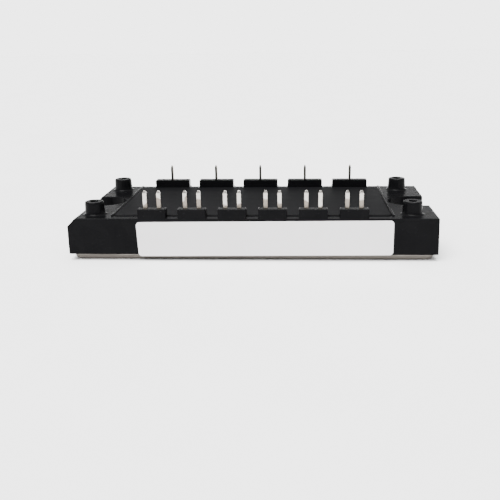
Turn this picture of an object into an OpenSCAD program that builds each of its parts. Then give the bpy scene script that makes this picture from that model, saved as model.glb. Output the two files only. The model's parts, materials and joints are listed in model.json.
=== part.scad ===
// Six-pack power module: plated copper base plate, moulded frame with castellated pin blocks,
// screw bosses and end notches, lid, label, moulded-in pins, and the substrates inside.
// Origin: centre of the base plate's underside. +X along the length, -Y the label side, +Z up.

/* [Frame] */
// Length of the frame at its lower edge
body_l = 107.5; // [98:0.5:118]
// Width of the frame
body_w = 45; // [41:0.5:50]
// Height of the frame's lower edge above the mounting plane
skirt_z = 2; // [1:0.1:2.5]
// Height of the frame's flat top above the mounting plane
deck_z = 12.7; // [11.8:0.1:15]
// Radius of the frame's upright corners
corner_r = 0.8; // [0.4:0.1:2]
// How far each end face leans in between the lower edge and the flat top
end_lean = 0.4; // [0.1:0.1:0.8]
// Width of the keying chamfer along the top of the left end
key_chamfer = 2.3; // [0.5:0.1:2.8]
// Width of the U-shaped notch in each end
notch_w = 12.2; // [11:0.1:13.5]
// Distance from a mounting hole's centre to the inner tip of its notch
notch_reach = 4.9; // [4:0.1:5.5]
// Wall between the tip of a notch and the lid's pocket
notch_wall = 1.2; // [1:0.1:2]
// Depth of the rim along each long side, in to the lid's pocket
rim_d = 3; // [2.7:0.1:4]

/* [Screw bosses] */
// Height of a boss above the frame's flat top
boss_h = 3.9; // [3.5:0.1:6]
// Distance from the frame's end to a boss's centre
boss_inset_x = 7.25; // [6.5:0.05:8]
// Distance from the frame's long side to a boss's centre
boss_inset_y = 5.6; // [5:0.1:7]
// Diameter of a boss at its top
boss_top_d = 5.4; // [4.6:0.1:5.6]
// Diameter of a boss at its foot
boss_foot_d = 5.9; // [5.7:0.1:6.4]
// Radius of the fillet round a boss's foot
boss_fillet = 0.9; // [0.3:0.1:1.2]
// Diameter of the blind screw hole in a boss
boss_bore_d = 2.2; // [1.8:0.1:2.6]
// Depth of the blind screw hole
boss_bore_depth = 9; // [6:0.5:12]

/* [Pin blocks] */
// Height of the pin blocks above the frame's flat top
block_h = 2.7; // [1.5:0.1:4]
// How far the back of a pin block stays short of the lid's pocket
block_back = 0.2; // [0.1:0.1:0.4]
// Length of each block that carries a pair of control pins
front_block_l = 8.2; // [6.5:0.1:10]
// Length of each block that carries a power blade
rear_block_l = 11.75; // [8:0.05:13.5]
// Radius of the block's top edges
block_edge_r = 0.35; // [0.1:0.05:0.8]
// Radius of the fillet at the foot of a power blade's block
block_foot_r = 0.7; // [0.2:0.1:0.8]

/* [Pins] */
// How far both rows of pins and blocks lie to the right of the part's centre
rows_x = 0.5; // [-1:0.1:1]
// How far the pins stand out of their blocks
pin_out = 5.1; // [3:0.1:9]
// Distance from the back of a block to the centre line of its pins
pin_back = 0.75; // [0.7:0.05:1.1]
// Width of a control pin
pin_w = 1.2; // [0.8:0.05:1.4]
// Thickness of a control pin
pin_t = 0.8; // [0.6:0.05:1]
// Distance between the two control pins of a pair
pair_gap = 4; // [3:0.1:5]
// Distance from one pair of control pins to the next
pair_pitch = 11.6; // [11:0.1:12.5]
// Width of a power blade across the module
blade_w = 1.3; // [0.8:0.05:1.4]
// Thickness of a power blade
blade_t = 0.8; // [0.6:0.05:1]
// Distance from one power blade to the next
blade_pitch = 15.24; // [14:0.01:16.5]
// Length of the bevelled tip of every pin
tip_l = 1.2; // [0.5:0.1:2]
// Thickness of the feet that the bond wires land on
foot_t = 0.8; // [0.5:0.1:1]
// Width of a power blade's foot
blade_foot_w = 3.2; // [2:0.1:3.6]

/* [Lid] */
// Thickness of the lid
lid_t = 1.6; // [1.2:0.1:2]
// How far the lid stands above the frame's flat top
lid_rise = 0.3; // [0.1:0.1:0.6]
// Clearance between the lid and its pocket, on each side
lid_gap = 0.1; // [0.05:0.05:0.2]
// Width of the seat under the lid's edge
lid_seat = 1.3; // [0.8:0.1:1.6]
// Radius of the corners of the lid and of the cavity below it
lid_r = 1; // [0.5:0.1:2]
// Width of the rib beside each end of the lid
rib_w = 0.8; // [0.5:0.1:1]
// Height of that rib above the frame's flat top
rib_h = 0.35; // [0.2:0.05:0.6]

/* [Base plate] */
// Distance from the frame's end to the base plate's end
plate_inset_x = 1.15; // [0.9:0.05:2]
// Distance from the frame's long side to the base plate's edge
plate_inset_y = 1.2; // [0.9:0.1:2]
// Thickness of the base plate
plate_t = 3; // [2.6:0.1:3.5]
// Radius of the base plate's corners
plate_r = 2; // [1:0.1:4]
// Distance from the base plate's end to a mounting hole's centre
hole_inset = 6.1; // [5:0.1:7]
// Diameter of a mounting hole
hole_d = 5.5; // [4.5:0.1:6]
// Clearance between the base plate's edge and the frame's skirt
skirt_gap = 0.1; // [0.05:0.05:0.3]

/* [Label] */
// Length of the label
label_l = 73.8; // [60:0.1:90]
// Height of the label
label_h = 10.2; // [8:0.1:11]
// Thickness of the label
label_t = 0.15; // [0.1:0.05:0.3]
// Radius of the label's corners
label_r = 1; // [0.3:0.1:3]
// How far the label's centre lies to the right of the part's centre
label_x = 3.8; // [-5:0.1:5]
// How far the label hangs below the frame's lower edge
label_drop = 0.3; // [0:0.1:0.6]
// Angle by which the label was stuck on crooked
label_tilt = 0.4; // [0:0.1:0.6]
// How far the label's left edge leans in towards its foot
label_lean = 0.2; // [0:0.1:2]

/* [Substrates] */
// Clearance between the row of substrates and each end of the cavity
sub_end_gap = 1.4; // [0.5:0.1:2]
// Clearance between a substrate and the shelves beside it
sub_side_gap = 0.8; // [0.4:0.1:1.5]
// Gap between neighbouring substrates
sub_gap = 0.8; // [0.6:0.1:1.5]
// Thickness of the ceramic
ceramic_t = 0.38; // [0.25:0.01:0.64]
// Thickness of the copper foil on each face of the ceramic
foil_t = 0.3; // [0.2:0.05:0.4]
// Distance from the ceramic's edge to the foil
foil_inset = 0.6; // [0.3:0.1:0.8]
// Gap between neighbouring tracks
track_gap = 1; // [0.6:0.1:1.2]
// Width of the landing strips beside the control pins, across the module
strip_w = 2.2; // [1.6:0.1:2.6]

/* [Chips and wires] */
// Length of a transistor chip, along the module
igbt_l = 8.6; // [7:0.1:9.5]
// Length of a diode chip, along the module
diode_l = 6.4; // [5:0.1:7]
// Thickness of a chip with its solder
chip_t = 0.2; // [0.15:0.05:0.4]
// Distance from a chip to the end of its track
chip_end_gap = 1.6; // [1:0.1:2]
// Distance from a chip to the side of its track
chip_side_gap = 0.6; // [0.3:0.1:0.8]
// Width of bare track left beside the chips for the bond wires
landing_w = 3; // [2:0.1:3.4]
// Thickness of a bond wire
wire_d = 0.4; // [0.3:0.05:0.5]
// Height to which a bond wire rises over its higher end
wire_rise = 1.4; // [1.2:0.1:1.8]
// Radius of a bond wire's bends
wire_bend_r = 1; // [0.5:0.1:1.1]
// Distance between neighbouring bond wires on a chip
wire_pitch = 2.4; // [1:0.1:2.6]
// Distance from a bond wire's end to the edge of what it lands on
wire_land = 0.9; // [0.6:0.1:1.2]

/* [Housing inside] */
// Height above the base plate of the shelves that carry the pins' feet
shelf_h = 3.5; // [3:0.1:4]
// Depth of those shelves, in from the wall
shelf_d = 1.9; // [1.7:0.1:2.4]
// How far a foot stays back from the shelf's edge
foot_back = 0.2; // [0.1:0.1:0.5]
// Clearance of the gel from the substrates and from the highest bond wire
gel_gap = 0.1; // [0.1:0.05:0.25]
// Depth of the gel over the bond wires
gel_cover = 0.7; // [0.4:0.1:1]

/* [Hidden] */
PAIRS = 6;
CONTROL_PINS = 2 * PAIRS;
BLADES = 5;
LEGS = 3;                    // phase legs, with one substrate each
PINS_PER_LEG = CONTROL_PINS / LEGS;
$fn = 48;

big = 4 * body_l;            // larger than the part, for cutting shapes
over = 1;                    // how far a cut or a joined shape runs past a face
half_l = body_l / 2;
half_w = body_w / 2;
boss_x = half_l - boss_inset_x;
boss_y = half_w - boss_inset_y;
boss_z = deck_z + boss_h;
block_z = deck_z + block_h;
block_d = rim_d - block_back;

// base plate, its holes, and the notches round them
plate_l = body_l - 2 * plate_inset_x;
plate_w = body_w - 2 * plate_inset_y;
hole_x = plate_l / 2 - hole_inset;
notch_tip_x = hole_x - notch_reach;

// lid, its pocket and the cavity below
pocket_l = 2 * (notch_tip_x - notch_wall);
pocket_w = body_w - 2 * rim_d;
lid_l = pocket_l - 2 * lid_gap;
lid_w = pocket_w - 2 * lid_gap;
seat_z = deck_z + lid_rise - lid_t;
cavity_l = pocket_l - 2 * lid_seat;
cavity_w = pocket_w - 2 * lid_seat;
well_w = cavity_w - 2 * shelf_d;

// pins and their feet
pin_y = half_w - block_d + pin_back;
pin_tip_z = block_z + pin_out;
shelf_z = plate_t + shelf_h;
foot_top_z = shelf_z + foot_t;
foot_tip_y = well_w / 2 + foot_back;
foot_wire_y = foot_tip_y + wire_land;

// substrates: places and layers, from the plate's top upwards
sub_pitch = (cavity_l - 2 * sub_end_gap + sub_gap) / LEGS;
sub_l = sub_pitch - sub_gap;
sub_w = well_w - 2 * sub_side_gap;
foil_l = sub_l - 2 * foil_inset;
foil_w = sub_w - 2 * foil_inset;
ceramic_z = plate_t + foil_t;
tracks_z = ceramic_z + ceramic_t;
track_top_z = tracks_z + foil_t;
chip_top_z = track_top_z + chip_t;

// tracks across a substrate, from the control pins' side: strips, low side, high side
strip_l = (foil_l - (PINS_PER_LEG - 1) * track_gap) / PINS_PER_LEG;
strip_y = (strip_w - foil_w) / 2;
pad_w = (foil_w - strip_w - 2 * track_gap) / 2;
low_y = strip_y + strip_w / 2 + track_gap;
high_y = low_y + pad_w + track_gap;

// chips, and the gel over their wires
chip_w = pad_w - chip_side_gap - landing_w;
igbt_x = (igbt_l - foil_l) / 2 + chip_end_gap;
diode_x = (foil_l - diode_l) / 2 - chip_end_gap;
room_z = foot_top_z + wire_rise + wire_d / 2 + gel_gap;
gel_z = room_z + gel_cover;

function clamp(v, low, high) = min(max(v, low), high);
function centred(i, count) = i - (count + 1) / 2;
function front_block_x(i) = rows_x + centred(i, PAIRS) * pair_pitch;
function pin_x(i) = front_block_x(ceil(i / 2)) + (i % 2 == 0 ? 1 : -1) * pair_gap / 2;
function blade_x(i) = rows_x + centred(i, BLADES) * blade_pitch;
function blade_leg(i) = clamp(round(blade_x(i) / sub_pitch), -1, 1) + 2;
function sub_x(i) = centred(i, LEGS) * sub_pitch;
function strip_x(i) = sub_x(ceil(i / PINS_PER_LEG))
    + centred((i - 1) % PINS_PER_LEG + 1, PINS_PER_LEG) * (strip_l + track_gap);
// chips 1, 3 and 5 are on the low side, chips 2, 4 and 6 on the high side
function chip_y(i) = (i % 2 == 1 ? low_y : high_y) + chip_side_gap + chip_w / 2;
// the place on a track of that centre and length that is nearest to x
function nearest_x(x, centre, length) =
    clamp(x, centre - length / 2 + wire_land, centre + length / 2 - wire_land);

module rounded_rect(l, w, r) {
    square([l - 2 * r, w], center = true);
    square([l, w - 2 * r], center = true);
    for (x = [-1, 1], y = [-1, 1]) translate([x * (l / 2 - r), y * (w / 2 - r)]) circle(r);
}

module slab(l, w, z0, z1, r) {
    translate([0, 0, z0]) linear_extrude(z1 - z0) rounded_rect(l, w, r);
}

module box(x0, x1, y0, y1, z0, z1) {
    translate([x0, y0, z0]) cube([x1 - x0, y1 - y0, z1 - z0]);
}

// A quarter-round fillet filling the corner at the origin, towards +X and +Y
module fillet(r) {
    difference() {
        translate([-r / 4, -r / 4]) square(1.25 * r);
        translate([r, r]) circle(r);
    }
}

// Outline of a pin block seen along Y: rounded top corners, and fillets at its foot
module block_outline(l, edge_r, foot_r) {
    translate([-l / 2, -over]) square([l, block_h + over - edge_r]);
    translate([edge_r - l / 2, -over]) square([l - 2 * edge_r, block_h + over]);
    for (s = [-1, 1]) {
        translate([s * (l / 2 - edge_r), block_h - edge_r]) circle(edge_r);
        if (foot_r > 0) translate([s * l / 2, 0]) mirror([s < 0 ? 1 : 0, 0]) fillet(foot_r);
    }
}

module pin_block(x, side, l, foot_r) {
    y0 = side > 0 ? half_w : -half_w + block_d;
    translate([x, y0, deck_z])
        rotate([90, 0, 0])
            linear_extrude(block_d) block_outline(l, block_edge_r, foot_r);
}

module boss_body(x, y) {
    translate([x, y, deck_z]) {
        cylinder(d1 = boss_foot_d, d2 = boss_top_d, h = boss_h);
        rotate_extrude() translate([boss_foot_d / 2 - boss_fillet / 8, 0]) fillet(boss_fillet);
    }
}

// The moulded block with leaning ends and the keying chamfer on its left end
module frame_blank() {
    lean = atan(end_lean / (deck_z - skirt_z));
    difference() {
        slab(body_l, body_w, skirt_z, deck_z, corner_r);
        for (s = [-1, 1])
            translate([s * half_l, 0, skirt_z])
                rotate([0, -s * lean, 0])
                    translate([s * big / 2, 0, 0]) cube(big, center = true);
        translate([end_lean - half_l, 0, deck_z - key_chamfer])
            rotate([0, 45, 0])
                translate([-big / 2, 0, 0]) cube(big, center = true);
    }
}

module notch(side) {
    centre_x = notch_tip_x + notch_w / 2;
    translate([side * centre_x, 0, 0]) cylinder(d = notch_w, h = deck_z + over);
    translate([side * (centre_x + half_l / 2), 0, (deck_z + over) / 2])
        cube([half_l, notch_w, deck_z + over], center = true);
}

// Ribs beside the lid's ends, from its front edge to the rear side
module lid_ribs() {
    y0 = -pocket_w / 2;
    y1 = half_w - corner_r;
    for (s = [-1, 1])
        translate([s * (pocket_l + rib_w) / 2 - rib_w / 2, y0, deck_z - over])
            cube([rib_w, y1 - y0, over + rib_h]);
}

// A flat bar with a bevelled tip: bar_w along X, bar_t along Y, up to the tips' height
module bar(bar_w, bar_t, z0) {
    rotate([90, 0, 0])
        translate([0, 0, -bar_t / 2])
            linear_extrude(bar_t)
                polygon([
                    [-bar_w / 2, z0],
                    [bar_w / 2, z0],
                    [bar_w / 2, pin_tip_z - tip_l],
                    [bar_w * 0.4, pin_tip_z - tip_l * 0.45],
                    [bar_w * 0.2, pin_tip_z],
                    [-bar_w * 0.2, pin_tip_z],
                    [-bar_w * 0.4, pin_tip_z - tip_l * 0.45],
                    [-bar_w / 2, pin_tip_z - tip_l]
                ]);
}

// Control pin: upright bar in the wall, and a foot that lies on the front shelf
module pin_shape(i) {
    translate([pin_x(i), -pin_y, 0]) {
        bar(pin_w, pin_t, shelf_z);
        box(-pin_w / 2, pin_w / 2, 0, pin_y - foot_tip_y, shelf_z, foot_top_z);
    }
}

// Power blade: set edge-on to the long side, with a wide foot on the rear shelf
module blade_shape(i) {
    translate([blade_x(i), pin_y, 0]) {
        rotate([0, 0, 90]) bar(blade_w, blade_t, shelf_z);
        box(-blade_foot_w / 2, blade_foot_w / 2, foot_tip_y - pin_y, 0, shelf_z, foot_top_z);
    }
}

// Half of a bond wire's loop: a leg up from z0, a quarter bend, and a run along +X at z1
module half_loop(run, z0, z1) {
    bend_r = min(wire_bend_r, run);
    translate([-wire_d / 2, z0]) square([wire_d, z1 - bend_r - z0]);
    translate([bend_r, z1 - bend_r]) difference() {
        circle(bend_r + wire_d / 2);
        circle(bend_r - wire_d / 2);
        translate([0, -big / 2]) square(big);
        translate([-big / 2, -big]) square(big);
    }
    if (run > bend_r) translate([bend_r, z1 - wire_d / 2]) square([run - bend_r, wire_d]);
}

// A bond wire of square section, looped from one landing place to the other
module wire(from, to) {
    span = norm([to.x - from.x, to.y - from.y]);
    top_z = max(from.z, to.z) + wire_rise;
    translate([from.x, from.y, 0])
        rotate([90, 0, atan2(to.y - from.y, to.x - from.x)])
            linear_extrude(wire_d, center = true) {
                half_loop(span / 2, from.z, top_z);
                translate([span, 0]) mirror([1, 0]) half_loop(span / 2, to.z, top_z);
            }
}

module base_plate() {
    color("silver") difference() {
        slab(plate_l, plate_w, 0, plate_t, plate_r);
        for (s = [-1, 1])
            translate([s * hole_x, 0, -over]) cylinder(d = hole_d, h = plate_t + 2 * over);
    }
}

module housing_frame() {
    color("#1e1e1f") difference() {
        union() {
            frame_blank();
            lid_ribs();
            for (i = [1:PAIRS]) pin_block(front_block_x(i), -1, front_block_l, 0);
            for (i = [1:BLADES]) pin_block(blade_x(i), 1, rear_block_l, block_foot_r);
            for (x = [-boss_x, boss_x], y = [-boss_y, boss_y]) boss_body(x, y);
        }
        for (s = [-1, 1]) notch(s);
        for (x = [-boss_x, boss_x], y = [-boss_y, boss_y])
            translate([x, y, boss_z - boss_bore_depth])
                cylinder(d = boss_bore_d, h = boss_bore_depth + over);
        slab(plate_l + 2 * skirt_gap, plate_w + 2 * skirt_gap, skirt_z - over, plate_t, plate_r);
        slab(cavity_l, well_w, plate_t - over, shelf_z + over, lid_r);
        slab(cavity_l, cavity_w, shelf_z, deck_z + over, lid_r);
        slab(pocket_l, pocket_w, seat_z, deck_z + over, lid_r);
        for (i = [1:CONTROL_PINS]) pin_shape(i);
        for (i = [1:BLADES]) blade_shape(i);
    }
}

module lid() {
    color("#232324") slab(lid_l, lid_w, seat_z, seat_z + lid_t, lid_r);
}

// The two rounded corners at an end of the label, the lower one moved along by lean
module label_end(lean) {
    translate([0, label_h / 2 - label_r]) circle(label_r);
    translate([lean, label_r - label_h / 2]) circle(label_r);
}

module label() {
    color("#dcdadb")
        translate([label_x, -half_w, skirt_z - label_drop + label_h / 2])
            rotate([0, -label_tilt, 0])
                rotate([90, 0, 0])
                    linear_extrude(label_t) hull() {
                        translate([label_l / 2 - label_r, 0]) label_end(0);
                        translate([label_r - label_l / 2, 0]) label_end(label_lean);
                    }
}

// Soft gel up to its level, with room left round the substrates, feet and bond wires
module gel() {
    room_l = sub_l + 2 * gel_gap;
    color("#c9d6d0", 0.5) difference() {
        union() {
            slab(cavity_l, well_w, plate_t, shelf_z + over, lid_r);
            slab(cavity_l, cavity_w, shelf_z, gel_z, lid_r);
        }
        for (i = [1:LEGS])
            box(sub_x(i) - room_l / 2, sub_x(i) + room_l / 2, -half_w, half_w, plate_t - over, room_z);
        for (i = [1:CONTROL_PINS]) pin_shape(i);
        for (i = [1:BLADES]) blade_shape(i);
    }
}

module control_pin(i) {
    color("#c4c0b8") pin_shape(i);
}

module power_blade(i) {
    color("#b8b6b2") blade_shape(i);
}

module back_foil(i) {
    color("#b87333")
        translate([sub_x(i), 0, 0])
            box(-foil_l / 2, foil_l / 2, -foil_w / 2, foil_w / 2, plate_t, ceramic_z);
}

module ceramic(i) {
    color("white")
        translate([sub_x(i), 0, 0])
            box(-sub_l / 2, sub_l / 2, -sub_w / 2, sub_w / 2, ceramic_z, tracks_z);
}

module tracks(i) {
    color("#b87333") {
        for (y = [low_y, high_y])
            translate([sub_x(i), y, 0]) box(-foil_l / 2, foil_l / 2, 0, pad_w, tracks_z, track_top_z);
        for (p = [1:PINS_PER_LEG])
            translate([strip_x((i - 1) * PINS_PER_LEG + p), strip_y, 0])
                box(-strip_l / 2, strip_l / 2, -strip_w / 2, strip_w / 2, tracks_z, track_top_z);
    }
}

module igbt_chip(i) {
    color("#8d9196")
        translate([sub_x(ceil(i / 2)) + igbt_x, chip_y(i), track_top_z + chip_t / 2])
            cube([igbt_l, chip_w, chip_t], center = true);
}

module diode_chip(i) {
    color("#9a9da1")
        translate([sub_x(ceil(i / 2)) + diode_x, chip_y(i), track_top_z + chip_t / 2])
            cube([diode_l, chip_w, chip_t], center = true);
}

// The wires of one phase leg: feet to strips and track, chip to chip, and high side to low side
module bond_wires(i) {
    x = sub_x(i);
    color("#d0d2d4") {
        for (p = [(i - 1) * PINS_PER_LEG + 1:i * PINS_PER_LEG])
            wire([pin_x(p), -foot_wire_y, foot_top_z],
                 [nearest_x(pin_x(p), strip_x(p), strip_l), strip_y, track_top_z]);
        for (b = [1:BLADES], k = [-0.5, 0.5])
            if (blade_leg(b) == i)
                wire([blade_x(b) + k * wire_pitch / 2, foot_wire_y, foot_top_z],
                     [nearest_x(blade_x(b), x, foil_l - wire_pitch) + k * wire_pitch / 2,
                      high_y + pad_w - wire_land, track_top_z]);
        for (c = [2 * i - 1, 2 * i], k = [-1:1])
            wire([x + igbt_x + igbt_l / 2 - wire_land, chip_y(c) + k * wire_pitch, chip_top_z],
                 [x + diode_x - diode_l / 2 + wire_land, chip_y(c) + k * wire_pitch, chip_top_z]);
        for (k = [-0.5, 0.5])
            wire([x + diode_x + k * wire_pitch, high_y + chip_side_gap + wire_land, chip_top_z],
                 [x + diode_x + k * wire_pitch, low_y + pad_w - wire_land, track_top_z]);
    }
}

base_plate();
housing_frame();
lid();
label();
gel();
for (i = [1:CONTROL_PINS]) control_pin(i);
for (i = [1:BLADES]) power_blade(i);
for (i = [1:LEGS]) back_foil(i);
for (i = [1:LEGS]) ceramic(i);
for (i = [1:LEGS]) tracks(i);
for (i = [1:2 * LEGS]) igbt_chip(i);
for (i = [1:2 * LEGS]) diode_chip(i);
for (i = [1:LEGS]) bond_wires(i);
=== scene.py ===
import json
import math

import bmesh
import bpy
from mathutils import Matrix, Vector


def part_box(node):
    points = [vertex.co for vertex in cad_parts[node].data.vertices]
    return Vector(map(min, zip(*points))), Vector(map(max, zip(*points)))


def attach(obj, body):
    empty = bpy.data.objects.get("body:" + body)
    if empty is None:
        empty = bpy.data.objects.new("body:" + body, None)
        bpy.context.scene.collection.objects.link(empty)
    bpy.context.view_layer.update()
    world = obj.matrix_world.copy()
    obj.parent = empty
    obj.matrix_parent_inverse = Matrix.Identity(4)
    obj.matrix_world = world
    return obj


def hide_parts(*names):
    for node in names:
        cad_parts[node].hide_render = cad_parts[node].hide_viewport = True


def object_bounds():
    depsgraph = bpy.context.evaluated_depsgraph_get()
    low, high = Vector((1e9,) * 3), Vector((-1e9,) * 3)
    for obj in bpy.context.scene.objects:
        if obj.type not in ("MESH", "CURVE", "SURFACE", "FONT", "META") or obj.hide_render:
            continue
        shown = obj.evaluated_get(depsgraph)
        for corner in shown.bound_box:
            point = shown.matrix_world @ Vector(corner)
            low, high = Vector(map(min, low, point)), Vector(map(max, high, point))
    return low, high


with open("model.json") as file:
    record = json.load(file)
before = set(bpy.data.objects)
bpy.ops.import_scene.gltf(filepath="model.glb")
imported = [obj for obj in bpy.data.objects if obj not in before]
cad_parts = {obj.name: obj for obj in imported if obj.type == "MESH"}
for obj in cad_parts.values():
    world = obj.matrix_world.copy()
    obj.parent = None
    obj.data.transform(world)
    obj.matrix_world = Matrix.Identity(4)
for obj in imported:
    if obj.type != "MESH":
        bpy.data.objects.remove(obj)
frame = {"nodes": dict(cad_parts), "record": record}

cad_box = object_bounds()


# ---- Base plate --------------------------------------------------------------------------
# The heat spreader that is screwed to the heatsink: 3 mm of copper, punched out, pressed flat
# and nickel plated. The punch rolls its lower rim over and leaves the upper one crisp. The
# frame is glued on top of it, so only a step of it shows all round.

def linear(hex_colour):
    """An sRGB hex colour as linear red, green, blue and alpha."""
    channels = [int(hex_colour[i:i + 2], 16) / 255 for i in (1, 3, 5)]
    return (*[c / 12.92 if c <= 0.04045 else ((c + 0.055) / 1.055) ** 2.4 for c in channels], 1)


def new_material(name):
    material = bpy.data.materials.new(name)
    material.use_nodes = True
    material.node_tree.nodes.clear()
    return material


def add_node(material, kind, inputs, stops=(), **settings):
    """Adds a shader node. Each input is a value or a link, (node, output); stops are the
    places and hex colours of a colour ramp; settings are the node's own properties."""
    tree = material.node_tree
    node = tree.nodes.new("ShaderNode" + kind)
    for name, value in settings.items():
        setattr(node, name, value)
    for name, value in inputs.items():
        if isinstance(value, tuple) and isinstance(value[0], bpy.types.Node):
            tree.links.new(value[0].outputs[value[1]], node.inputs[name])
        else:
            node.inputs[name].default_value = value
    for stop, (place, colour) in enumerate(stops):
        node.color_ramp.elements[stop].position = place
        node.color_ramp.elements[stop].color = linear(colour)
    return node


def open_copy(node, name, cuts=()):
    """A copy of a solid, left open in edit mode. Its triangles are joined into whole faces,
    which meet at the sharp edges and along the cutting planes."""
    same_point = 1e-6
    same_plane = math.radians(0.5)
    on_the_cut = 0.00002
    piece = bpy.data.objects.new(name, frame["nodes"][node].data.copy())
    bpy.context.scene.collection.objects.link(piece)
    bpy.ops.object.select_all(action="DESELECT")
    piece.select_set(True)
    bpy.context.view_layer.objects.active = piece
    bpy.ops.mesh.customdata_custom_splitnormals_clear()
    bpy.ops.object.mode_set(mode="EDIT")
    bpy.ops.mesh.select_mode(type="VERT")
    bpy.ops.mesh.select_all(action="SELECT")
    bpy.ops.mesh.remove_doubles(threshold=same_point)
    bpy.ops.mesh.dissolve_limited(angle_limit=same_plane)
    for place, across in cuts:
        bpy.ops.mesh.select_all(action="SELECT")
        bpy.ops.mesh.bisect(plane_co=place, plane_no=across, threshold=on_the_cut)
        bpy.ops.mesh.mark_seam(clear=False)
    bpy.ops.mesh.select_all(action="SELECT")
    bpy.ops.mesh.dissolve_limited(angle_limit=same_plane, delimit={"SEAM"})
    return piece


def round_edges(radius, segments, wanted):
    """In edit mode, rounds the sharp outward edges whose middle point is wanted."""
    least_angle = math.radians(40)
    bpy.ops.mesh.select_mode(type="EDGE")
    bpy.ops.mesh.select_all(action="DESELECT")
    mesh = bmesh.from_edit_mesh(bpy.context.edit_object.data)
    for edge in mesh.edges:
        sharp = edge.is_manifold and edge.calc_face_angle_signed() > least_angle
        if sharp and wanted((edge.verts[0].co + edge.verts[1].co) / 2):
            edge.select_set(True)
    bmesh.update_edit_mesh(bpy.context.edit_object.data)
    bpy.ops.mesh.bevel(offset=radius, segments=segments, affect="EDGES", clamp_overlap=False,
                       loop_slide=False)


def select_face(wanted):
    """In edit mode, selects the faces whose middle point and normal are wanted."""
    bpy.ops.mesh.select_mode(type="FACE")
    bpy.ops.mesh.select_all(action="DESELECT")
    mesh = bmesh.from_edit_mesh(bpy.context.edit_object.data)
    for face in mesh.faces:
        if wanted(face.calc_center_median(), face.normal):
            face.select_set(True)
    bmesh.update_edit_mesh(bpy.context.edit_object.data)


def is_flat(middle, normal):
    """Whether a face is level or upright, or is the frame's keying chamfer, which leans at
    45 degrees at one end."""
    square = max(map(abs, normal)) > 0.999
    chamfer = abs(abs(normal.x) - abs(normal.z)) < 0.01
    at_an_end = abs(middle.x) > 0.05
    return square or chamfer and at_an_end


def finish_piece(piece, material, slot, *nodes):
    """Leaves edit mode, smooths all but the flat faces, gives the piece its material, and sets
    it in the place of the solids."""
    bpy.ops.object.mode_set(mode="OBJECT")
    bpy.ops.object.shade_smooth_by_angle(angle=math.radians(35))
    bpy.ops.object.mode_set(mode="EDIT")
    select_face(is_flat)
    bpy.ops.mesh.faces_shade_flat()
    bpy.ops.object.mode_set(mode="OBJECT")
    piece.data.materials.clear()
    piece.data.materials.append(material)
    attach(piece, "root")
    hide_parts(*nodes)


# Satin nickel plating over pressed copper: a slightly warm grey metal. The faint lines that
# the rolling mill left in the copper run along the plate and stretch its reflections. Round
# its edge the punch sheared the upper half smooth and tore the lower half, which stays rough
# under the plating. That lower band is also painted darker, as painted shade from the frame
# above it and the floor below. Here and below, a pattern's scale is 1000 over its size in
# millimetres.
nickel = new_material("satin nickel plating")
coords = add_node(nickel, "TexCoord", {})
rolled = add_node(nickel, "Mapping", {"Vector": (coords, "Object"), "Scale": (1, 12, 12)})
lines = add_node(nickel, "TexNoise", {"Vector": (rolled, "Vector"), "Scale": 1000 / 6, "Detail": 4})
haze = add_node(nickel, "TexNoise", {"Vector": (coords, "Object"), "Scale": 1000 / 9, "Detail": 3})
place = add_node(nickel, "SeparateXYZ", {"Vector": (coords, "Object")})
tear_wave = 0.0008
wave = add_node(nickel, "Math", {
    0: (haze, "Fac"), 1: tear_wave, 2: (place, "Z")}, operation="MULTIPLY_ADD")
sheared = add_node(nickel, "MapRange", {
    "Value": (wave, "Value"), "From Min": 0.0018, "From Max": 0.0023, "To Min": 0.0, "To Max": 1.0})
underside = add_node(nickel, "MapRange", {
    "Value": (place, "Z"), "From Min": 0.0, "From Max": 0.00005, "To Min": 1.0, "To Max": 0.0})
smooth_and_unshaded = add_node(nickel, "Math", {
    0: (sheared, "Result"), 1: (underside, "Result")}, operation="MAXIMUM")
# The lower band's darker colour is painted shade; only its higher roughness belongs to the torn
# metal
tint = add_node(nickel, "ValToRGB", {"Fac": (smooth_and_unshaded, "Value")}, [(0, "#5f5b56"), (1, "#8d8982")])
satin = add_node(nickel, "MapRange", {"Value": (lines, "Fac"), "To Min": 0.28, "To Max": 0.46})
rough = add_node(nickel, "MapRange", {
    "Value": (smooth_and_unshaded, "Value"), "To Min": 0.6, "To Max": (satin, "Result")})
relief = add_node(nickel, "Bump", {"Height": (lines, "Fac"), "Strength": 0.25, "Distance": 0.00002})
metal = add_node(nickel, "BsdfPrincipled", {
    "Base Color": (tint, "Color"), "Metallic": 1.0, "Roughness": (rough, "Result"),
    "Normal": (relief, "Normal")})
add_node(nickel, "OutputMaterial", {"Surface": (metal, "BSDF")})

near = 1e-4  # edges are picked by their place, to a tenth of a millimetre
rolled_rim, crisp_rim = 0.0012, 0.00015
plate_low, plate_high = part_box("base_plate")
plate = open_copy("base_plate", "nickel_plated_base")
round_edges(rolled_rim, 5, lambda p: p.z < plate_low.z + near)
round_edges(crisp_rim, 2, lambda p: p.z > plate_high.z - near)
finish_piece(plate, nickel, "plate", "base_plate")


# ---- Moulded frame -----------------------------------------------------------------------
# The housing's walls, pin blocks and screw bosses, injection moulded in one piece round the
# pins, in black PBT with 30 % glass fibre. The mould was spark eroded, so the plastic has a
# fine matt grain, and its outer edges are as round as the cutter that made them.

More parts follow.
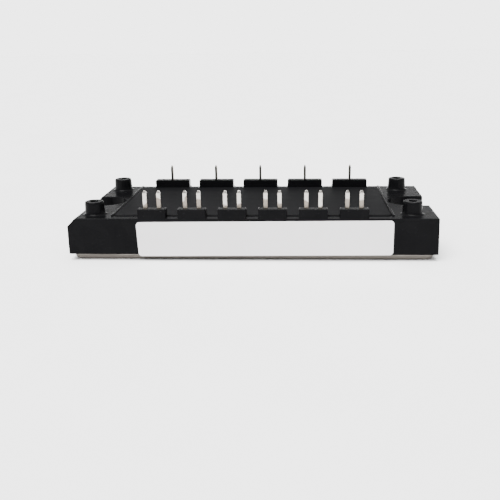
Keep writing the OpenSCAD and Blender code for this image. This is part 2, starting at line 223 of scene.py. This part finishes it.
# Glass-filled black PBT: a neutral near-black with a soft, broad sheen
plastic = new_material("black glass-filled PBT, spark-eroded grain")
coords = add_node(plastic, "TexCoord", {})
grain = add_node(plastic, "TexNoise", {
    "Vector": (coords, "Object"), "Scale": 1000 / 0.35, "Detail": 3})
cloud = add_node(plastic, "TexNoise", {
    "Vector": (coords, "Object"), "Scale": 1000 / 7, "Detail": 4, "Distortion": 0.6})
tint = add_node(plastic, "ValToRGB", {"Fac": (cloud, "Fac")}, [(0.35, "#070708"), (0.7, "#0a0a0b")])
rough = add_node(plastic, "MapRange", {"Value": (cloud, "Fac"), "To Min": 0.22, "To Max": 0.32})
relief = add_node(plastic, "Bump", {"Height": (grain, "Fac"), "Strength": 0.2, "Distance": 0.00003})
body = add_node(plastic, "BsdfPrincipled", {
    "Base Color": (tint, "Color"), "Roughness": (rough, "Result"), "IOR": 1.5,
    "Specular IOR Level": 0.03, "Normal": (relief, "Normal")})
add_node(plastic, "OutputMaterial", {"Surface": (body, "BSDF")})

frame_low, frame_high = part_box("housing_frame")
lid_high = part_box("lid")[1]
pin_y, blade_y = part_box("control_pin_1")[0].y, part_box("power_blade_1")[1].y
boss_top_round, edge_round = 0.0003, 0.0002


def outer_edge(p):
    """Whether the edge at p is rounded. The lower rim, the lid's seat, the feet and corners of
    the long walls, and the strips that hold the pins and blades stay sharp, because rounding
    them would fold the mesh."""
    between = frame_low.z + edge_round < p.z < frame_high.z - 0.001
    seat = (abs(p.x) < lid_high.x + 0.0005 and abs(p.y) < lid_high.y + 0.0005
            and p.z < lid_high.z)
    long_wall = abs(p.y) > frame_high.y - 0.0005
    foot = p.z < lid_high.z - 0.001
    corner = abs(p.x) > frame_high.x - 0.0007
    pin_strip = pin_y - near < p.y < pin_y + 0.0009
    blade_strip = blade_y - 0.0015 < p.y < blade_y + near
    return between and not (
        seat or long_wall and (foot or corner) or pin_strip or blade_strip)


# The flat top is cut along the lines through the bosses' middles, so that it falls into clean
# triangles round them
screws = next(mount["dims"] for mount in frame["record"]["mounts"]
              if mount["name"] == "board_screws")
boss_x, boss_y = screws["spacing_x_mm"] / 2000, screws["spacing_y_mm"] / 2000
through_bosses = [((side * boss_x, 0, 0), (1, 0, 0)) for side in (-1, 1)]
through_bosses += [((0, side * boss_y, 0), (0, 1, 0)) for side in (-1, 1)]
moulding = open_copy("housing_frame", "moulded_frame", through_bosses)
round_edges(boss_top_round, 3, lambda p: p.z > frame_high.z - near)
round_edges(edge_round, 3, outer_edge)
finish_piece(moulding, plastic, "frame", "housing_frame")


# ---- Lid ---------------------------------------------------------------------------------
# A flat moulded cover in the same plastic, dropped into the frame's seat and glued down. Its
# mould was ground, not eroded, so it has no grain, and its sheen is broader and greyer than the
# frame's.

cover_plastic = new_material("black PBT, ground mould")
coords = add_node(cover_plastic, "TexCoord", {})
flow = add_node(cover_plastic, "Mapping", {"Vector": (coords, "Object"), "Scale": (1, 3, 1)})
streaks = add_node(cover_plastic, "TexNoise", {
    "Vector": (flow, "Vector"), "Scale": 1000 / 14, "Detail": 5})
tint = add_node(cover_plastic, "ValToRGB", {"Fac": (streaks, "Fac")}, [
    (0.3, "#0a0a0b"), (0.7, "#0e0e0f")])
rough = add_node(cover_plastic, "MapRange", {
    "Value": (streaks, "Fac"), "To Min": 0.46, "To Max": 0.6})
body = add_node(cover_plastic, "BsdfPrincipled", {
    "Base Color": (tint, "Color"), "Roughness": (rough, "Result"), "IOR": 1.5,
    "Specular IOR Level": 0.026})
add_node(cover_plastic, "OutputMaterial", {"Surface": (body, "BSDF")})

lid_round = 0.00028
cover = open_copy("lid", "glued_lid")
round_edges(lid_round, 4, lambda p: p.z > lid_high.z - near)
finish_piece(cover, cover_plastic, "lid", "lid")


# ---- Label -------------------------------------------------------------------------------
# A die-cut rating label of matt white polyester film, stuck along the front wall. It is left
# blank.

film = new_material("matt white polyester film")
coords = add_node(film, "TexCoord", {})
cloud = add_node(film, "TexNoise", {"Vector": (coords, "Object"), "Scale": 1000 / 20, "Detail": 3})
tint = add_node(film, "ValToRGB", {"Fac": (cloud, "Fac")}, [(0.3, "#c9c7c8"), (0.7, "#cfcdce")])
relief = add_node(film, "Bump", {"Height": (cloud, "Fac"), "Strength": 0.2, "Distance": 0.0002})
body = add_node(film, "BsdfPrincipled", {
    "Base Color": (tint, "Color"), "Roughness": 0.45, "IOR": 1.5, "Normal": (relief, "Normal")})
add_node(film, "OutputMaterial", {"Surface": (body, "BSDF")})


def dress(material, *starts):
    """Gives a material to the solids whose names start so."""
    for name, solid in frame["nodes"].items():
        if name.startswith(starts):
            for slot in solid.material_slots:
                slot.material = material


dress(film, "label")


# ---- Control pins ------------------------------------------------------------------------
# Twelve solder pins, stamped from bronze strip 0.8 mm thick and tin plated, with coined tips.
# They are moulded into the front wall, and end inside in a foot for the bond wires.

# Tin plating: a warm silver, bright on the upper part of the pins. Below an uneven line the
# lower part is painted greyer and darker, and made rougher: painted shade, standing in for
# the black block that it reflects.
tin = new_material("tin plating, lower part painted dark")
coords = add_node(tin, "TexCoord", {})
place = add_node(tin, "SeparateXYZ", {"Vector": (coords, "Object")})
drawn = add_node(tin, "Mapping", {"Vector": (coords, "Object"), "Scale": (1, 1, 0.12)})
lines = add_node(tin, "TexNoise", {"Vector": (drawn, "Vector"), "Scale": 1000 / 0.5, "Detail": 2})
spots = add_node(tin, "TexNoise", {"Vector": (coords, "Object"), "Scale": 1000 / 5, "Detail": 2})
line_wave = 0.012
level = add_node(tin, "Math", {
    0: (spots, "Fac"), 1: line_wave, 2: (place, "Z")}, operation="MULTIPLY_ADD")
# The mask is 1 above the uneven line; below it the pins take the painted shade
upper_unshaded = add_node(tin, "MapRange", {
    "Value": (level, "Value"), "From Min": 0.0229, "From Max": 0.0237})
tint = add_node(tin, "ValToRGB", {"Fac": (upper_unshaded, "Result")}, [(0, "#857d74"), (1, "#bdb9b3")])
worn = add_node(tin, "MapRange", {"Value": (lines, "Fac"), "To Min": 0.3, "To Max": 0.5})
rough = add_node(tin, "MapRange", {
    "Value": (upper_unshaded, "Result"), "To Min": (worn, "Result"), "To Max": 0.2})
relief = add_node(tin, "Bump", {"Height": (spots, "Fac"), "Strength": 0.6, "Distance": 0.0003})
metal = add_node(tin, "BsdfPrincipled", {
    "Base Color": (tint, "Color"), "Metallic": 1.0, "Roughness": (rough, "Result"),
    "Normal": (relief, "Normal")})
add_node(tin, "OutputMaterial", {"Surface": (metal, "BSDF")})


def pull_face(middle, move, scale):
    """Extrudes the selected face by move, then scales its far end about its own middle."""
    bpy.ops.mesh.extrude_region_move(TRANSFORM_OT_translate={"value": move})
    bpy.ops.transform.resize(value=scale, center_override=middle)


def stamp_pin(name, low, high, shaft, shaft_y, foot_y, foot_w):
    """A pin with a coined tip on its shaft, (x, y) thick, and a foot that reaches foot_y."""
    foot_t, tip_l, edge_round = 0.0008, 0.0012, 0.00012
    # Shares of the tip's height, and of the shaft's width at each
    tip_steps = ((0.3, 0.94), (0.55, 0.82), (0.8, 0.62), (1, 0.36))
    # Share of the foot's reach over which it widens
    flare = 0.15
    middle_x = (low.x + high.x) / 2
    bpy.ops.object.select_all(action="DESELECT")
    bpy.ops.mesh.primitive_cube_add(
        size=1, location=(middle_x, shaft_y, low.z + foot_t / 2), scale=(*shaft, foot_t))
    bpy.ops.object.transform_apply()
    piece = bpy.context.object
    piece.name = name
    bpy.ops.object.mode_set(mode="EDIT")
    select_face(lambda middle, normal: normal.z > 0.9)
    pull_face((0, 0, 0), (0, 0, high.z - tip_l - low.z - foot_t), (1, 1, 1))
    done, width = 0, 1
    for up, wide in tip_steps:
        top = (middle_x, shaft_y, high.z - tip_l * (1 - up))
        narrower = wide / width
        pull_face(top, (0, 0, tip_l * (up - done)), (narrower, narrower, 1))
        done, width = up, wide
    inward = 1 if foot_y > shaft_y else -1
    select_face(lambda middle, normal: normal.y * inward > 0.9 and middle.z < low.z + foot_t)
    edge_y = shaft_y + inward * shaft[1] / 2
    reach = foot_y - edge_y
    pull_face((middle_x, edge_y, low.z), (0, reach * flare, 0), (foot_w / shaft[0], 1, 1))
    pull_face((0, 0, 0), (0, reach * (1 - flare), 0), (1, 1, 1))
    round_edges(edge_round, 2, lambda p: low.z + foot_t < p.z < high.z - tip_l)
    return piece


def copy_pin(piece, name, move):
    """A copy of a finished pin with its own mesh, moved to its place."""
    twin = piece.copy()
    twin.data = piece.data.copy()
    twin.data.transform(Matrix.Translation(move))
    twin.name = name
    bpy.context.scene.collection.objects.link(twin)
    return twin


strip_t = 0.0008
pin_count = 12
low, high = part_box("control_pin_1")
pin_w = high.x - low.x
first_pin = stamp_pin(
    "tin_plated_pin_1", low, high, (pin_w, strip_t), low.y + strip_t / 2, high.y, pin_w)
finish_piece(first_pin, tin, "pins", "control_pin_1")
for number in range(2, pin_count + 1):
    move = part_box(f"control_pin_{number}")[0] - low
    twin = copy_pin(first_pin, f"tin_plated_pin_{number}", move)
    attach(twin, "root")
    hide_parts(f"control_pin_{number}")


# ---- Power blades ------------------------------------------------------------------------
# Five terminals for the load current, cut from the same strip as the pins and set edge-on to
# the long side. The plating covers their broad faces; the sheared edges are bare, and are
# painted dark grey: painted shade.

blade_metal = new_material("tin-plated bronze with sheared edges")
coords = add_node(blade_metal, "TexCoord", {})
sides = add_node(blade_metal, "SeparateXYZ", {"Vector": (coords, "Normal")})
facing = add_node(blade_metal, "Math", {0: (sides, "Y")}, operation="ABSOLUTE")
drawn = add_node(blade_metal, "Mapping", {"Vector": (coords, "Object"), "Scale": (1, 1, 0.12)})
lines = add_node(blade_metal, "TexNoise", {
    "Vector": (drawn, "Vector"), "Scale": 1000 / 0.5, "Detail": 2})
# Faces turned along Y, the narrow edges, take the dark colour: painted shade
tint = add_node(blade_metal, "ValToRGB", {"Fac": (facing, "Value")}, [
    (0.3, "#bdb7ae"), (0.5, "#31302f")])
rough = add_node(blade_metal, "MapRange", {"Value": (lines, "Fac"), "To Min": 0.3, "To Max": 0.5})
metal = add_node(blade_metal, "BsdfPrincipled", {
    "Base Color": (tint, "Color"), "Metallic": 1.0, "Roughness": (rough, "Result")})
add_node(blade_metal, "OutputMaterial", {"Surface": (metal, "BSDF")})

blade_w = 0.0013
blade_count = 5
low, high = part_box("power_blade_1")
first_blade = stamp_pin(
    "power_blade_1_stamped", low, high, (strip_t, blade_w), high.y - blade_w / 2, low.y,
    high.x - low.x)
finish_piece(first_blade, blade_metal, "blades", "power_blade_1")
for number in range(2, blade_count + 1):
    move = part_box(f"power_blade_{number}")[0] - low
    twin = copy_pin(first_blade, f"power_blade_{number}_stamped", move)
    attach(twin, "root")
    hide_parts(f"power_blade_{number}")


# ---- Substrates --------------------------------------------------------------------------
# Out of sight under the lid: three alumina tiles with copper bonded to both faces, soldered
# to the base plate, with the tracks etched out of the upper copper.

# Bonded copper: a soft, warm red metal, mottled by the crystals that the furnace grew in it
copper = new_material("direct-bonded copper")
coords = add_node(copper, "TexCoord", {})
crystals = add_node(copper, "TexVoronoi", {"Vector": (coords, "Object"), "Scale": 1000 / 0.8})
tint = add_node(copper, "ValToRGB", {"Fac": (crystals, "Distance")}, [
    (0, "#b8734a"), (0.8, "#c98a5e")])
metal = add_node(copper, "BsdfPrincipled", {
    "Base Color": (tint, "Color"), "Metallic": 1.0, "Roughness": 0.35})
add_node(copper, "OutputMaterial", {"Surface": (metal, "BSDF")})

# Fired alumina: a matt, slightly creamy white
alumina = new_material("fired alumina")
coords = add_node(alumina, "TexCoord", {})
specks = add_node(alumina, "TexNoise", {"Vector": (coords, "Object"), "Scale": 1000 / 0.6})
tint = add_node(alumina, "ValToRGB", {"Fac": (specks, "Fac")}, [(0.3, "#e4e0d6"), (0.7, "#f2efe8")])
ceramic = add_node(alumina, "BsdfPrincipled", {
    "Base Color": (tint, "Color"), "Roughness": 0.5, "IOR": 1.76})
add_node(alumina, "OutputMaterial", {"Surface": (ceramic, "BSDF")})

dress(copper, "back_foil", "tracks")
dress(alumina, "ceramic")


# ---- Chips, bond wires and gel -----------------------------------------------------------
# Also under the lid: transistor and diode chips, joined by aluminium wires and covered in
# clear silicone gel.

# Metallised silicon: bright grey, ruled by the dark lines between the cells
silicon = new_material("metallised silicon")
coords = add_node(silicon, "TexCoord", {})
cells = add_node(silicon, "TexBrick", {"Vector": (coords, "Object"), "Scale": 1000 / 4,
    "Color1": linear("#a9abae"), "Color2": linear("#b4b5b7"), "Mortar": linear("#4b4e55")})
chip = add_node(silicon, "BsdfPrincipled", {
    "Base Color": (cells, "Color"), "Metallic": 1.0, "Roughness": 0.3})
add_node(silicon, "OutputMaterial", {"Surface": (chip, "BSDF")})

# Drawn aluminium: bright, with a slightly uneven gloss
aluminium = new_material("drawn aluminium wire")
coords = add_node(aluminium, "TexCoord", {})
marks = add_node(aluminium, "TexNoise", {"Vector": (coords, "Object"), "Scale": 1000 / 0.3})
rough = add_node(aluminium, "MapRange", {"Value": (marks, "Fac"), "To Min": 0.25, "To Max": 0.45})
metal = add_node(aluminium, "BsdfPrincipled", {
    "Base Color": linear("#d3d4d6"), "Metallic": 1.0, "Roughness": (rough, "Result")})
add_node(aluminium, "OutputMaterial", {"Surface": (metal, "BSDF")})

# Silicone gel: clear, wet looking, with the faintest green
silicone = new_material("clear silicone gel")
coords = add_node(silicone, "TexCoord", {})
bubbles = add_node(silicone, "TexNoise", {"Vector": (coords, "Object"), "Scale": 1000 / 5})
rough = add_node(silicone, "MapRange", {"Value": (bubbles, "Fac"), "To Min": 0.03, "To Max": 0.12})
gel = add_node(silicone, "BsdfPrincipled", {
    "Base Color": linear("#eef2f0"), "Roughness": (rough, "Result"), "IOR": 1.41,
    "Transmission Weight": 0.95})
add_node(silicone, "OutputMaterial", {"Surface": (gel, "BSDF")})

dress(silicon, "igbt_chip", "diode_chip")
dress(aluminium, "bond_wires")
dress(silicone, "gel")


# ---- Floor, light and camera -------------------------------------------------------------
# A plain white paper sweep under a broad soft light. The module is seen from the label's side,
# from a little above.

paper = new_material("white paper")
coords = add_node(paper, "TexCoord", {})
fibres = add_node(paper, "TexNoise", {
    "Vector": (coords, "Object"), "Scale": 1000 / 30, "Detail": 3})
tint = add_node(paper, "ValToRGB", {"Fac": (fibres, "Fac")}, [(0.3, "#f2f2f2"), (0.7, "#f5f5f5")])
sheet = add_node(paper, "BsdfPrincipled", {
    "Base Color": (tint, "Color"), "Roughness": 0.9, "Specular IOR Level": 0.0})
add_node(paper, "OutputMaterial", {"Surface": (sheet, "BSDF")})

floor_gap = 0.0001  # keeps the floor clear of the plate's underside
bpy.ops.object.select_all(action="DESELECT")
bpy.ops.mesh.primitive_plane_add(size=8, location=(0, 0, cad_box[0].z - floor_gap))
floor = bpy.context.object
floor.name = "floor"
floor.data.materials.append(paper)

# The studio: bright at the horizon and overhead, dim between. Past the floor the camera sees
# plain white.
world = bpy.data.worlds.new("studio")
bpy.context.scene.world = world
world.use_nodes = True
world.node_tree.nodes.clear()
coords = add_node(world, "TexCoord", {})
height = add_node(world, "SeparateXYZ", {"Vector": (coords, "Generated")})
room = add_node(world, "ValToRGB", {"Fac": (height, "Z")}, [(0.05, "#ffffff"), (0.13, "#747474")])
for up, colour in ((0.75, "#747474"), (0.95, "#ffffff")):
    room.color_ramp.elements.new(up).color = linear(colour)
room_strength = 4.0
light = add_node(world, "Background", {"Color": (room, "Color"), "Strength": room_strength})
backdrop = add_node(world, "Background", {
    "Color": linear("#ffffff"), "Strength": room_strength})
seen = add_node(world, "LightPath", {})
both = add_node(world, "MixShader", {
    "Fac": (seen, "Is Camera Ray"), 1: (light, "Background"), 2: (backdrop, "Background")})
add_node(world, "OutputWorld", {"Surface": (both, "Shader")})

bpy.ops.object.light_add(type="SUN", rotation=(math.radians(28), math.radians(-14), 0))
sun = bpy.context.object.data
sun.energy = 10.0
sun.angle = math.radians(50)

bpy.ops.object.camera_add(
    location=(0.01402, -0.20648, 0.06080),
    rotation=[math.radians(angle) for angle in (72.693, 0.793, 3.12)])
camera = bpy.context.object
camera.data.lens = 48.13
camera.data.shift_x = -0.024
camera.data.clip_start = 0.01
bpy.context.scene.camera = camera
